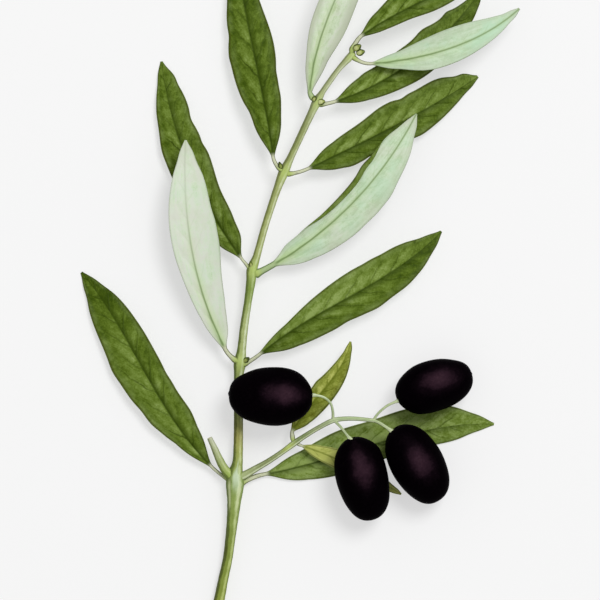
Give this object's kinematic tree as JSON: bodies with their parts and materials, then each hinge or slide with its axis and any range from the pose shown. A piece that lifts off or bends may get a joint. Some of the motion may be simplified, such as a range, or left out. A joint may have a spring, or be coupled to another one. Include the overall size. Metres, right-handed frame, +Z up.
{
  "type": "olive branch with fruit",
  "caption": "Cut olive twig lying on its side, with narrow leaves in pairs, some showing their silver underside, and a stalk of ripe black olives.",
  "frame": {"origin": "on the surface the twig lies on, under the middle of its bounding box", "axes": "+Y runs along the twig from its cut foot to the end of its shoot, +Z is up from the surface, +X is the side the fruit lies on"},
  "size_m": [0.123, 0.2024, 0.0187],
  "materials": {
    "bark": "matte",
    "fruit_stalk": "matte",
    "olive_skin": "satin",
    "leaf_green": "satin",
    "leaf_silver": "matte",
    "leaf_young": "satin",
    "bud": "matte"
  },
  "bodies": {
    "root": {"main_stem": "bark", "side_twig_stub": "bark", "fruit_stalk": "fruit_stalk", "olive_left": "olive_skin", "olive_middle": "olive_skin", "olive_right": "olive_skin", "olive_upper": "olive_skin", "leaf_lower_left": "leaf_green", "leaf_under_fruit": "leaf_green", "leaf_left_silver": "leaf_silver", "leaf_right_lower": "leaf_green", "leaf_left_back": "leaf_green", "leaf_right_silver": "leaf_silver", "leaf_upper_left": "leaf_green", "leaf_right_middle": "leaf_green", "leaf_top_silver": "leaf_silver", "leaf_right_upper": "leaf_green", "leaf_tip_silver": "leaf_silver", "leaf_tip_dark": "leaf_green", "small_leaf_upright": "leaf_young", "small_leaf_yellow": "leaf_young", "bud_end_left": "bud", "bud_end_right": "bud", "bud_fifth_left": "bud", "bud_fifth_right": "bud", "bud_fourth": "bud", "bud_third": "bud", "bud_second": "bud"}
  },
  "joints": []
}
